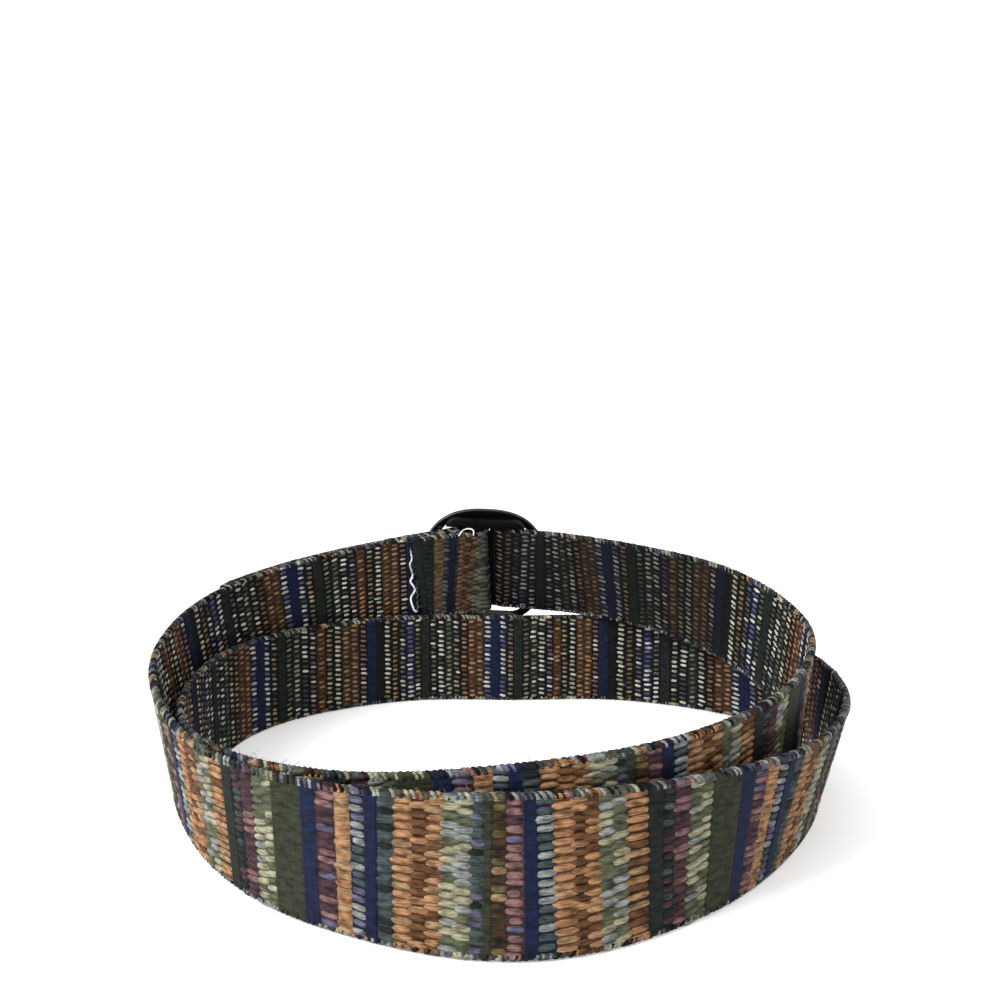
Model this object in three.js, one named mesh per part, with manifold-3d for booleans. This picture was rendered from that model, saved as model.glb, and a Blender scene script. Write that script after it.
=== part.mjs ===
// A patterned web belt, fastened and set down on its edges. The webbing is wound round twice, one turn
// nested in the other, and climbs over itself at the far side, where an oval slider buckle joins it.
// Millimetres, +Z up. The origin is on the floor, under the middle of the box round the whole belt.
import * as THREE from 'three';
import { mergeVertices } from 'three/addons/utils/BufferGeometryUtils.js';
import Module from 'manifold-3d';

// Webbing
const WEB_WIDTH = 38;
const WEB_THICKNESS = 2.4;
const SELVAGE_BEVEL = 0.5;
const COIL_REACH = 100;
const SEWN_FOLD_LENGTH = 25;
const FREE_END_LENGTH = 110;
const SETTLING_LENGTH = 30;
const LAYER_GAP = 0.5;

// Buckle
const BAR_WIDTH = 5;
const BAR_THICKNESS = 3;
const SEWN_SLOT_LENGTH = 13;
const THREADED_SLOT_LENGTH = 21;
const SIDE_RAIL = 8;
const CROSS_RAIL = 6.1;
const SLOT_PLAY = 4.2;
const SLOT_CORNER_RADIUS = 7;
const FRAME_THICKNESS = 2.4;
const FRAME_BEVEL = 0.6;
const BAR_SETBACK = 5.7;
const LUG_LENGTH = 32;
const LUG_WALL = 2.9;
const RAIL_CLEARANCE = 1;
const FRAME_DROP = 0.9;
const FRAME_TILT_DEG = 5;
const FRAME_ROUNDNESS = 2.5;

// Steps along the webbing, in the open and where it threads the buckle
const OPEN_STEP = 5.5;
const THREADED_STEP = 2.4;
const BEND_STEPS = 8;
const FRAME_OUTLINE_STEPS = 44;
const SLOT_CORNER_STEPS = 4;

const FULL_TURN = 360;
const BUCKLE_TURN_DEG = 9.2;
const LOOP_TURNS_DEG = 2 * FULL_TURN;

// The way round, a row for each bend. The turn starts behind the middle and goes left, front, right and
// back again, twice. Reach is a share of COIL_REACH, lift a share of WEB_WIDTH, and lean is how far the
// upper edge tips outwards.
const WAY_ROUND = [
  { turn: 7, reach: 1.045, lift: 1.015, lean: -14 },
  { turn: 30, reach: 1.13, lift: 0.865, lean: -8 },
  { turn: 60, reach: 1.2, lift: 0.61, lean: 2 },
  { turn: 90, reach: 1.12, lift: 0.36, lean: 8 },
  { turn: 120, reach: 1.022, lift: 0.095, lean: 9 },
  { turn: 150, reach: 0.952, lift: 0, lean: 3 },
  { turn: 180, reach: 0.952, lift: 0, lean: -8 },
  { turn: 210, reach: 0.88, lift: 0, lean: 4 },
  { turn: 240, reach: 0.875, lift: 0, lean: 14 },
  { turn: 270, reach: 0.98, lift: 0, lean: 12 },
  { turn: 300, reach: 1.175, lift: 0, lean: -3 },
  { turn: 330, reach: 1.085, lift: 0, lean: 0 },
  { turn: 360, reach: 0.965, lift: 0, lean: 0 },
  { turn: 390, reach: 1.075, lift: 0, lean: 0 },
  { turn: 420, reach: 1.155, lift: 0, lean: 0 },
  { turn: 450, reach: 1.06, lift: 0, lean: 3 },
  { turn: 480, reach: 0.97, lift: 0, lean: 9 },
  { turn: 510, reach: 0.88, lift: 0.03, lean: 7 },
  { turn: 540, reach: 0.83, lift: 0.135, lean: 4 },
  { turn: 570, reach: 0.82, lift: 0.235, lean: 5 },
  { turn: 600, reach: 0.835, lift: 0.365, lean: 7 },
  { turn: 630, reach: 0.9, lift: 0.54, lean: 4 },
  { turn: 660, reach: 0.932, lift: 0.79, lean: -5 },
  { turn: 690, reach: 0.96, lift: 0.968, lean: -17 },
  { turn: 712, reach: 1.015, lift: 0.985, lean: -15 },
];

const radians = THREE.MathUtils.degToRad;

// Slope of one column at a row, on a way that closes after two turns. A column that must not dip past its
// rows levels out at its highest and lowest ones.
function slopeAt(row, column, levels) {
  const count = WAY_ROUND.length;
  const before = WAY_ROUND[(row + count - 1) % count];
  const here = WAY_ROUND[row];
  const after = WAY_ROUND[(row + 1) % count];
  const backSpan = (here.turn - before.turn + LOOP_TURNS_DEG) % LOOP_TURNS_DEG;
  const aheadSpan = (after.turn - here.turn + LOOP_TURNS_DEG) % LOOP_TURNS_DEG;
  const climbIn = here[column] - before[column];
  const climbOut = after[column] - here[column];
  if (levels && climbIn * climbOut <= 0) {
    return 0;
  }
  return (climbIn + climbOut) / (backSpan + aheadSpan);
}

// Value of one column of the way round at any turn, on smooth curves through its rows
function columnAt(turn, column, levels) {
  const start = WAY_ROUND[0].turn;
  const wrapped = start + THREE.MathUtils.euclideanModulo(turn - start, LOOP_TURNS_DEG);
  let row = WAY_ROUND.length - 1;
  while (WAY_ROUND[row].turn > wrapped) {
    row -= 1;
  }
  const next = (row + 1) % WAY_ROUND.length;
  const span = (WAY_ROUND[next].turn - WAY_ROUND[row].turn + LOOP_TURNS_DEG) % LOOP_TURNS_DEG;
  const t = (wrapped - WAY_ROUND[row].turn) / span;
  const from = WAY_ROUND[row][column];
  const to = WAY_ROUND[next][column];
  const slopeFrom = slopeAt(row, column, levels) * span;
  const slopeTo = slopeAt(next, column, levels) * span;
  const t2 = t * t;
  const t3 = t2 * t;
  return from * (2 * t3 - 3 * t2 + 1) + slopeFrom * (t3 - 2 * t2 + t)
    + to * (3 * t2 - 2 * t3) + slopeTo * (t3 - t2);
}

// Foot of the webbing's middle plane at a turn, before it leans
function footAt(turn) {
  const angle = radians(turn);
  const reach = columnAt(turn, 'reach', false) * COIL_REACH;
  const lift = columnAt(turn, 'lift', true) * WEB_WIDTH;
  return new THREE.Vector3(-reach * Math.sin(angle), reach * Math.cos(angle), lift);
}

// Where the webbing is at a turn: the middle of its width, the way it runs, the way its width points up
// and the way its outer face looks
function placeAt(turn) {
  const nudge = 0.5;
  const along = footAt(turn + nudge).sub(footAt(turn - nudge)).normalize();
  const level = new THREE.Vector3(along.y, -along.x, 0).normalize();
  const upright = level.clone().cross(along).normalize();
  const lean = radians(columnAt(turn, 'lean', true));
  const up = upright.clone().multiplyScalar(Math.cos(lean)).addScaledVector(level, Math.sin(lean));
  const out = level.clone().multiplyScalar(Math.cos(lean)).addScaledVector(upright, -Math.sin(lean));
  const middle = footAt(turn).addScaledVector(up, WEB_WIDTH / 2);
  middle.z += Math.abs(Math.sin(lean)) * WEB_THICKNESS / 2;
  return { middle, along, up, out };
}

// Turns at equal steps of length along the way, from one turn to another
function turnsBetween(from, to, step) {
  const fine = 1;
  const lengths = [0];
  const turns = [from];
  const direction = Math.sign(to - from);
  for (let turn = from + direction * fine; direction * (to - turn) > 0; turn += direction * fine) {
    const reached = placeAt(turn).middle.distanceTo(placeAt(turns.at(-1)).middle);
    lengths.push(lengths.at(-1) + reached);
    turns.push(turn);
  }
  lengths.push(lengths.at(-1) + placeAt(to).middle.distanceTo(placeAt(turns.at(-1)).middle));
  turns.push(to);
  const total = lengths.at(-1);
  const count = Math.max(1, Math.round(total / step));
  const picked = [];
  let k = 0;
  for (let i = 0; i <= count; i += 1) {
    const wanted = total * i / count;
    while (k < lengths.length - 2 && lengths[k + 1] < wanted) {
      k += 1;
    }
    const share = (wanted - lengths[k]) / (lengths[k + 1] - lengths[k]);
    picked.push(turns[k] + share * (turns[k + 1] - turns[k]));
  }
  return picked;
}

// The turn that lies a length further along the way than another
function turnAfter(from, length) {
  const fine = Math.sign(length) * 0.25;
  let turn = from;
  let gone = 0;
  while (gone < Math.abs(length)) {
    gone += placeAt(turn + fine).middle.distanceTo(placeAt(turn).middle);
    turn += fine;
  }
  return turn;
}

// Depths across the layers at the buckle, measured outwards from the middle of the single webbing. The
// bar sits askew in the sewn fold, so the fold is that much longer than the bar is wide.
const LAYER_PITCH = WEB_THICKNESS + LAYER_GAP;
const FRAME_INNER_FACE = 1.5 * WEB_THICKNESS + LAYER_GAP + RAIL_CLEARANCE;
const BAR_DEPTH = FRAME_INNER_FACE - BAR_SETBACK;
const BEND_RADIUS = (BAR_THICKNESS + WEB_THICKNESS) / 2 + LAYER_GAP;
const ASKEW = Math.tan(radians(FRAME_TILT_DEG)) * WEB_WIDTH / 2;
const BEND_OFFSET = (BAR_WIDTH - BAR_THICKNESS) / 2 + ASKEW;
const BAR_REACH = BAR_WIDTH / 2 + ASKEW;
const SLOT_REACH = BAR_WIDTH / 2 + SEWN_SLOT_LENGTH - ASKEW;
const RAIL_REACH = BAR_WIDTH / 2 + THREADED_SLOT_LENGTH + SIDE_RAIL;

// Smooth step from 0 to 1 between two lengths
function easeBetween(length, from, to) {
  const t = THREE.MathUtils.clamp((length - from) / (to - from), 0, 1);
  return t * t * (3 - 2 * t);
}

// Depth of a layer at a length from the bar, from its depth on the bar to its depth once it is through
// the slot, which takes the length of the sewn slot on either side
function easedDepth(length, onBar, pastSlot) {
  return THREE.MathUtils.lerp(onBar, pastSlot, easeBetween(length, BAR_REACH, SLOT_REACH));
}

// Points along one layer between two lengths from the bar, with the depth that a function gives
function layerPoints(fromTurn, toTurn, step, depthAt) {
  return turnsBetween(fromTurn, toTurn, step).map((turn) => {
    const place = placeAt(turn);
    const length = place.middle.distanceTo(placeAt(BUCKLE_TURN_DEG).middle);
    const point = place.middle.clone().addScaledVector(place.out, depthAt(length));
    return { point, up: place.up };
  });
}

// The whole length of webbing, from the cut end of its sewn fold to its free end
function webbingPoints() {
  const bar = placeAt(BUCKLE_TURN_DEG);
  const endTurn = BUCKLE_TURN_DEG + LOOP_TURNS_DEG;
  const foldTurn = turnAfter(BUCKLE_TURN_DEG, SEWN_FOLD_LENGTH);
  const bendTurn = turnAfter(BUCKLE_TURN_DEG, -BEND_OFFSET);
  const threadedTurn = turnAfter(BUCKLE_TURN_DEG, SLOT_REACH);
  const arrivingTurn = turnAfter(endTurn, -(RAIL_REACH + SETTLING_LENGTH));
  const freeTurn = turnAfter(endTurn, FREE_END_LENGTH);
  const foldDepth = (length) => {
    const t = THREE.MathUtils.clamp(length / SEWN_FOLD_LENGTH, 0, 1);
    return THREE.MathUtils.lerp(BAR_DEPTH - BEND_RADIUS, -LAYER_PITCH, t);
  };
  const fixedDepth = (length) => easedDepth(length, BAR_DEPTH + BEND_RADIUS, 0);
  const overDepth = (length) => easedDepth(length, BAR_DEPTH + BEND_RADIUS + LAYER_PITCH, LAYER_PITCH);
  const arrivingDepth = (length) => {
    const settled = 1 - easeBetween(length, RAIL_REACH, RAIL_REACH + SETTLING_LENGTH);
    return easedDepth(length, BAR_DEPTH + BEND_RADIUS + LAYER_PITCH, LAYER_PITCH * settled);
  };

  const fold = layerPoints(foldTurn, bendTurn, THREADED_STEP, foldDepth);
  const bendCentre = bar.middle.clone().addScaledVector(bar.out, BAR_DEPTH)
    .addScaledVector(bar.along, -BEND_OFFSET);
  const bend = [];
  for (let i = 1; i < BEND_STEPS; i += 1) {
    const angle = Math.PI * (i / BEND_STEPS - 0.5);
    const point = bendCentre.clone().addScaledVector(bar.along, -BEND_RADIUS * Math.cos(angle))
      .addScaledVector(bar.out, BEND_RADIUS * Math.sin(angle));
    bend.push({ point, up: bar.up });
  }
  const fixed = layerPoints(bendTurn, threadedTurn, THREADED_STEP, fixedDepth);
  const open = layerPoints(threadedTurn, arrivingTurn, OPEN_STEP, () => 0).slice(1, -1);
  const arriving = layerPoints(arrivingTurn, endTurn, THREADED_STEP, arrivingDepth).slice(0, -1);
  const over = layerPoints(endTurn, threadedTurn + LOOP_TURNS_DEG, THREADED_STEP, overDepth);
  const free = layerPoints(threadedTurn + LOOP_TURNS_DEG, freeTurn, OPEN_STEP, () => LAYER_PITCH);
  return [...fold, ...bend, ...fixed, ...open, ...arriving, ...over, ...free.slice(1)];
}

// Corners of the webbing's section, across its width and through its thickness
function webbingSection() {
  const w = WEB_WIDTH / 2;
  const t = WEB_THICKNESS / 2;
  const b = SELVAGE_BEVEL;
  return [[w - b, t], [w, t - b], [w, b - t], [w - b, -t], [b - w, -t], [-w, b - t], [-w, t - b], [b - w, t]];
}

// A closed body swept along points that each have an up direction
function sweptGeometry(points, section) {
  const positions = [];
  const triangles = [];
  const size = section.length;
  points.forEach(({ point, up }, i) => {
    const ahead = points[Math.min(i + 1, points.length - 1)].point;
    const behind = points[Math.max(i - 1, 0)].point;
    const along = ahead.clone().sub(behind).normalize();
    const through = along.clone().cross(up).normalize();
    for (const [across, depth] of section) {
      const corner = point.clone().addScaledVector(up, across).addScaledVector(through, depth);
      positions.push(corner.x, corner.y, corner.z);
    }
  });
  for (let i = 0; i + 1 < points.length; i += 1) {
    for (let k = 0; k < size; k += 1) {
      const a = i * size + k;
      const b = i * size + (k + 1) % size;
      triangles.push(a, a + size, b, b, a + size, b + size);
    }
  }
  const last = (points.length - 1) * size;
  for (let k = 1; k + 1 < size; k += 1) {
    triangles.push(0, k, k + 1, last, last + k + 1, last + k);
  }
  const geometry = new THREE.BufferGeometry();
  geometry.setAttribute('position', new THREE.Float32BufferAttribute(positions, 3));
  geometry.setIndex(triangles);
  return geometry;
}

const wasm = await Module();
wasm.setup();

// A closed three.js geometry as a solid that can be joined, and back again
function solidFrom(geometry) {
  const bare = geometry.clone();
  bare.deleteAttribute('normal');
  bare.deleteAttribute('uv');
  const merged = mergeVertices(bare);
  const vertProperties = Float32Array.from(merged.attributes.position.array);
  const triVerts = Uint32Array.from(merged.index.array);
  return new wasm.Manifold(new wasm.Mesh({ numProp: 3, vertProperties, triVerts }));
}

function geometryFrom(solid) {
  const mesh = solid.getMesh();
  const geometry = new THREE.BufferGeometry();
  geometry.setAttribute('position', new THREE.BufferAttribute(mesh.vertProperties, 3));
  geometry.setIndex(new THREE.BufferAttribute(mesh.triVerts, 1));
  return geometry;
}

// The bar is off the middle of the frame, with the sewn slot shorter than the threaded one
const OPENING_HALF_LENGTH = (SEWN_SLOT_LENGTH + BAR_WIDTH + THREADED_SLOT_LENGTH) / 2;
const FRAME_MIDDLE = (SEWN_SLOT_LENGTH - THREADED_SLOT_LENGTH) / 2;
const OPENING_HALF_HEIGHT = (WEB_WIDTH + SLOT_PLAY) / 2;

// Outline of the buckle's frame, between an ellipse and a rounded square
function frameOutline() {
  const shape = new THREE.Shape();
  const halfLength = OPENING_HALF_LENGTH + SIDE_RAIL - FRAME_BEVEL;
  const halfHeight = OPENING_HALF_HEIGHT + CROSS_RAIL - FRAME_BEVEL;
  const rounded = (value) => Math.sign(value) * Math.abs(value) ** (2 / FRAME_ROUNDNESS);
  for (let i = 0; i < FRAME_OUTLINE_STEPS; i += 1) {
    const angle = 2 * Math.PI * i / FRAME_OUTLINE_STEPS;
    const x = halfLength * rounded(Math.cos(angle));
    const y = halfHeight * rounded(Math.sin(angle));
    if (i === 0) {
      shape.moveTo(x, y);
    } else {
      shape.lineTo(x, y);
    }
  }
  return shape;
}

// The opening that both slots are parts of, with round corners
function frameOpening() {
  const opening = new THREE.Path();
  const x = OPENING_HALF_LENGTH + FRAME_BEVEL;
  const y = OPENING_HALF_HEIGHT + FRAME_BEVEL;
  const r = SLOT_CORNER_RADIUS;
  opening.moveTo(r - x, -y);
  opening.absarc(x - r, r - y, r, -Math.PI / 2, 0);
  opening.absarc(x - r, y - r, r, 0, Math.PI / 2);
  opening.absarc(r - x, y - r, r, Math.PI / 2, Math.PI);
  opening.absarc(r - x, r - y, r, Math.PI, 1.5 * Math.PI);
  return opening;
}

// The centre bar, a round-ended section that drops behind the frame and is carried at each end by a long
// lug, a low wall that stands on the cross rail beside the webbing's edge
function barGeometry() {
  const r = BAR_THICKNESS / 2;
  const section = new THREE.Shape();
  const x = BAR_WIDTH / 2 - r;
  section.absarc(x, 0, r, -Math.PI / 2, Math.PI / 2);
  section.absarc(-x, 0, r, Math.PI / 2, 1.5 * Math.PI);
  const length = 2 * (OPENING_HALF_HEIGHT + LUG_WALL);
  const bar = new THREE.ExtrudeGeometry(section, { depth: length, bevelEnabled: false, curveSegments: 5 });
  bar.translate(0, 0, -length / 2);
  bar.rotateX(-Math.PI / 2);
  return bar;
}

function lugGeometry(side) {
  const height = (BAR_THICKNESS + FRAME_THICKNESS) / 2 + BAR_SETBACK;
  const lug = new THREE.BoxGeometry(LUG_LENGTH, LUG_WALL, height);
  lug.translate(FRAME_MIDDLE, side * (OPENING_HALF_HEIGHT + LUG_WALL / 2), (height - BAR_THICKNESS) / 2);
  return lug;
}

// The buckle in its own plane: X along the belt, Y across it, Z outwards, the bar's middle at the origin
function buckleGeometry() {
  const outline = frameOutline();
  outline.holes.push(frameOpening());
  const depth = FRAME_THICKNESS - 2 * FRAME_BEVEL;
  const frame = new THREE.ExtrudeGeometry(outline, {
    depth, bevelEnabled: true, bevelThickness: FRAME_BEVEL, bevelSize: FRAME_BEVEL, bevelSegments: 2,
    curveSegments: SLOT_CORNER_STEPS,
  });
  frame.translate(FRAME_MIDDLE, 0, BAR_SETBACK + FRAME_BEVEL);
  let buckle = solidFrom(frame).add(solidFrom(barGeometry()));
  for (const side of [-1, 1]) {
    buckle = buckle.add(solidFrom(lugGeometry(side)));
  }
  return geometryFrom(buckle);
}

const belt = new THREE.Group();

const webbing = new THREE.Mesh(
  sweptGeometry(webbingPoints(), webbingSection()),
  new THREE.MeshStandardMaterial({ color: '#5b5347', roughness: 0.9, metalness: 0 }),
);
webbing.name = 'webbing_strap';
belt.add(webbing);

const buckle = new THREE.Mesh(
  buckleGeometry(),
  new THREE.MeshStandardMaterial({ color: '#16181a', roughness: 0.35, metalness: 1 }),
);
buckle.name = 'buckle_frame';
const bar = placeAt(BUCKLE_TURN_DEG);
const buckleAxes = new THREE.Matrix4().makeBasis(bar.along, bar.up, bar.out);
buckle.quaternion.setFromRotationMatrix(buckleAxes);
buckle.rotateZ(radians(FRAME_TILT_DEG));
buckle.position.copy(bar.middle).addScaledVector(bar.out, BAR_DEPTH).addScaledVector(bar.up, -FRAME_DROP);
belt.add(buckle);

// Set the whole belt over the origin
const box = new THREE.Box3().setFromObject(belt);
belt.position.set(-(box.min.x + box.max.x) / 2, -(box.min.y + box.max.y) / 2, -box.min.z);

export default belt;
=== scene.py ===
# %% [markdown]
# # A patterned web belt, yarn by yarn
#
# A web belt is one long narrow band of heavy weaving with a metal slider at one end. This lesson dresses
# the imported belt: the band gets its woven ground, the raised yarns that carry the colours, its selvages,
# the sewn fold with its loose threads, and a smooth black buckle. The frame gives the places and sizes, so
# it is loaded first, and its box places the band and is compared with the band's own.

# %% Load the frame
import math
from collections import namedtuple

import bpy
import numpy as np
from mathutils import Matrix, Vector


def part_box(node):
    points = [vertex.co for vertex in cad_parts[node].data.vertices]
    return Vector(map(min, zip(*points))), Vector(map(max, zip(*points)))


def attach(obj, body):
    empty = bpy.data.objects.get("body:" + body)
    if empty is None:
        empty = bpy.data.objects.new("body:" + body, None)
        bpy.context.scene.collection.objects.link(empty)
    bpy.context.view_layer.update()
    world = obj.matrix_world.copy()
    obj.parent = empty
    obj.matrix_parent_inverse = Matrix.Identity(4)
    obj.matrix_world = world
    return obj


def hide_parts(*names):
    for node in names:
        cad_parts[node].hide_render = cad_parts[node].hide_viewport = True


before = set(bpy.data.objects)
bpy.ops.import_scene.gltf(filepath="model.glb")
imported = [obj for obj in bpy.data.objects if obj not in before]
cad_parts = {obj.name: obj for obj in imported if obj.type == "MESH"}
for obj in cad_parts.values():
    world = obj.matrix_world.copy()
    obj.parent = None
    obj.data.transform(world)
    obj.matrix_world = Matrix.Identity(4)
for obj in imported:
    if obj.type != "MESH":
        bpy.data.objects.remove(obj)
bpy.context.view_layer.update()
MM = 0.001

# %% [markdown]
# ## Camera
#
# The photo looks slightly down on the belt from its open side, close enough that the near stretch of
# webbing looks a third larger than the far one. A short lens placed close gives the same foreshortening.

# %% Camera
LENS_MM = 32.4
SENSOR_MM = 36.0
EYE_MM = (-1.4, -298.0, 122.7)
LOOK_DOWN_DEG = 5.1

camera_data = bpy.data.cameras.new("camera")
camera_data.lens = LENS_MM
camera_data.sensor_width = SENSOR_MM
camera = bpy.data.objects.new("camera", camera_data)
camera.location = Vector(EYE_MM) * MM
camera.rotation_euler = (math.radians(90 - LOOK_DOWN_DEG), 0, 0)
bpy.context.scene.collection.objects.link(camera)
bpy.context.scene.camera = camera
print("Camera", round(-EYE_MM[1]), "mm in front and", EYE_MM[2], "mm up, looking down", LOOK_DOWN_DEG)

# %% [markdown]
# ## The way round
#
# The band stands on its edge and is wound round twice, with its second turn climbing over the first. A
# path given at every thirty degrees, with smooth curves between, is easy to read and to correct.
# Reach is a share of COIL_REACH, lift a share of the band's width, and lean is the tip of its upper edge.

# %% Sizes and the way round
WEB_WIDTH = 38.0
WEB_THICKNESS = 2.4
COIL_REACH = 100.0
SEWN_FOLD_LENGTH = 25.0
FREE_END_LENGTH = 110.0
SETTLING_LENGTH = 30.0
LAYER_GAP = 0.5
BUCKLE_TURN = 9.2
TWO_TURNS = 720.0

Bend = namedtuple("Bend", "turn reach lift lean")
WAY_ROUND = [
    Bend(7, 1.045, 1.015, -14),
    Bend(30, 1.13, 0.865, -8),
    Bend(60, 1.2, 0.61, 2),
    Bend(90, 1.12, 0.36, 8),
    Bend(120, 1.022, 0.095, 9),
    Bend(150, 0.952, 0, 3),
    Bend(180, 0.952, 0, -8),
    Bend(210, 0.88, 0, 4),
    Bend(240, 0.875, 0, 14),
    Bend(270, 0.98, 0, 12),
    Bend(300, 1.175, 0, -3),
    Bend(330, 1.085, 0, 0),
    Bend(360, 0.965, 0, 0),
    Bend(390, 1.075, 0, 0),
    Bend(420, 1.155, 0, 0),
    Bend(450, 1.06, 0, 3),
    Bend(480, 0.97, 0, 9),
    Bend(510, 0.88, 0.03, 7),
    Bend(540, 0.83, 0.135, 4),
    Bend(570, 0.82, 0.235, 5),
    Bend(600, 0.835, 0.365, 7),
    Bend(630, 0.9, 0.54, 4),
    Bend(660, 0.932, 0.79, -5),
    Bend(690, 0.96, 0.968, -17),
    Bend(712, 1.015, 0.985, -15),
]


def slope_at(row, column, levels):
    """Slope of a column at a row. A column that levels has no slope at its highest and lowest rows."""
    before, here, after = (WAY_ROUND[(row + k) % len(WAY_ROUND)] for k in (-1, 0, 1))
    climb_in = getattr(here, column) - getattr(before, column)
    climb_out = getattr(after, column) - getattr(here, column)
    if levels and climb_in * climb_out <= 0:
        return 0.0
    back = (here.turn - before.turn) % TWO_TURNS
    ahead = (after.turn - here.turn) % TWO_TURNS
    return (climb_in + climb_out) / (back + ahead)


def column_at(turn, column, levels):
    """Value of one column at any turn, on smooth curves through its rows."""
    start = WAY_ROUND[0].turn
    wrapped = start + (turn - start) % TWO_TURNS
    row = max(i for i, bend in enumerate(WAY_ROUND) if bend.turn <= wrapped)
    following = (row + 1) % len(WAY_ROUND)
    span = (WAY_ROUND[following].turn - WAY_ROUND[row].turn) % TWO_TURNS
    t = (wrapped - WAY_ROUND[row].turn) / span
    rise = slope_at(row, column, levels) * span
    fall = slope_at(following, column, levels) * span
    ease = 3 * t * t - 2 * t**3
    value = (1 - ease) * getattr(WAY_ROUND[row], column) + ease * getattr(WAY_ROUND[following], column)
    return value + rise * (t**3 - 2 * t * t + t) + fall * (t**3 - t * t)


print(len(WAY_ROUND), "bends in the way round")

# %% [markdown]
# A band needs more than a line: it needs to know at each place which way it runs, which way its width
# points and which way its outer face looks. These three directions carry every yarn later on.

# %% Places on the way round
Place = namedtuple("Place", "middle along up out")


def foot_at(turn):
    angle = math.radians(turn)
    reach = column_at(turn, "reach", False) * COIL_REACH
    lift = column_at(turn, "lift", True) * WEB_WIDTH
    return Vector((-reach * math.sin(angle), reach * math.cos(angle), lift))


def place_at(turn):
    nudge = 0.5
    along = (foot_at(turn + nudge) - foot_at(turn - nudge)).normalized()
    level = Vector((along.y, -along.x, 0)).normalized()
    upright = level.cross(along).normalized()
    lean = math.radians(column_at(turn, "lean", True))
    up = upright * math.cos(lean) + level * math.sin(lean)
    out = level * math.cos(lean) - upright * math.sin(lean)
    middle = foot_at(turn) + up * (WEB_WIDTH / 2)
    middle.z += abs(math.sin(lean)) * WEB_THICKNESS / 2
    return Place(middle, along, up, out)


def turn_after(start, length):
    """The turn that lies a length further along the way."""
    fine = math.copysign(0.25, length)
    turn = start
    gone = 0.0
    while gone < abs(length):
        gone += (place_at(turn + fine).middle - place_at(turn).middle).length
        turn += fine
    return turn


def turns_between(start, end, step):
    """Turns at about equal lengths from one turn to another."""
    rough = np.linspace(start, end, max(2, int(abs(end - start))) + 1)
    middles = np.array([place_at(turn).middle for turn in rough])
    lengths = np.concatenate([[0], np.cumsum(np.linalg.norm(np.diff(middles, axis=0), axis=1))])
    count = max(1, round(lengths[-1] / step))
    return np.interp(np.linspace(0, lengths[-1], count + 1), lengths, rough)


bar = place_at(BUCKLE_TURN)
print("Bar of the buckle at", [round(c, 1) for c in bar.middle], "mm before the belt is centred")

# %% [markdown]
# At the buckle the band lies in three layers: the sewn fold inside, the layer it turns back into round
# the bar, and the free end that passes over the bar outside. Each layer is the same way round with a
# depth of its own, and the depths meet the single band where the slots end.

# %% Layers at the buckle
BAR_WIDTH = 5.0
BAR_THICKNESS = 3.0
SEWN_SLOT_LENGTH = 13.0
THREADED_SLOT_LENGTH = 21.0
SIDE_RAIL = 8.0
BAR_SETBACK = 5.7
RAIL_CLEARANCE = 1.0
FRAME_TILT = math.radians(5)
LAYER_PITCH = WEB_THICKNESS + LAYER_GAP
BAR_DEPTH = 1.5 * WEB_THICKNESS + LAYER_GAP + RAIL_CLEARANCE - BAR_SETBACK
BEND_RADIUS = (BAR_THICKNESS + WEB_THICKNESS) / 2 + LAYER_GAP
ASKEW = math.tan(FRAME_TILT) * WEB_WIDTH / 2
BEND_OFFSET = (BAR_WIDTH - BAR_THICKNESS) / 2 + ASKEW
BAR_REACH = BAR_WIDTH / 2 + ASKEW
SLOT_REACH = BAR_WIDTH / 2 + SEWN_SLOT_LENGTH - ASKEW
RAIL_REACH = BAR_WIDTH / 2 + THREADED_SLOT_LENGTH + SIDE_RAIL
ROUTE_STEP = 1.0
BEND_STEPS = 16


def ease_between(value, low, high):
    t = min(max((value - low) / (high - low), 0), 1)
    return t * t * (3 - 2 * t)


def eased_depth(length, on_bar, past_slot):
    return on_bar + (past_slot - on_bar) * ease_between(length, BAR_REACH, SLOT_REACH)


def fold_depth(length):
    share = min(length / SEWN_FOLD_LENGTH, 1)
    return (BAR_DEPTH - BEND_RADIUS) * (1 - share) - LAYER_PITCH * share


def fixed_depth(length):
    return eased_depth(length, BAR_DEPTH + BEND_RADIUS, 0)


def open_depth(length):
    return 0


def arriving_depth(length):
    settled = 1 - ease_between(length, RAIL_REACH, RAIL_REACH + SETTLING_LENGTH)
    return eased_depth(length, BAR_DEPTH + BEND_RADIUS + LAYER_PITCH, LAYER_PITCH * settled)


def free_depth(length):
    return eased_depth(length, BAR_DEPTH + BEND_RADIUS + LAYER_PITCH, LAYER_PITCH)


def layer(start, end, depth_at):
    """Points of the band's middle line and its upward directions, between two turns of one layer."""
    rows = []
    for turn in turns_between(start, end, ROUTE_STEP):
        place = place_at(turn)
        depth = depth_at((place.middle - bar.middle).length)
        rows.append((place.middle + place.out * depth, place.up))
    return rows


def bend_round_bar():
    centre = bar.middle + bar.out * BAR_DEPTH - bar.along * BEND_OFFSET
    rows = []
    for i in range(1, BEND_STEPS):
        angle = math.pi * (i / BEND_STEPS - 0.5)
        back = -bar.along * BEND_RADIUS * math.cos(angle)
        rows.append((centre + back + bar.out * BEND_RADIUS * math.sin(angle), bar.up))
    return rows


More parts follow.
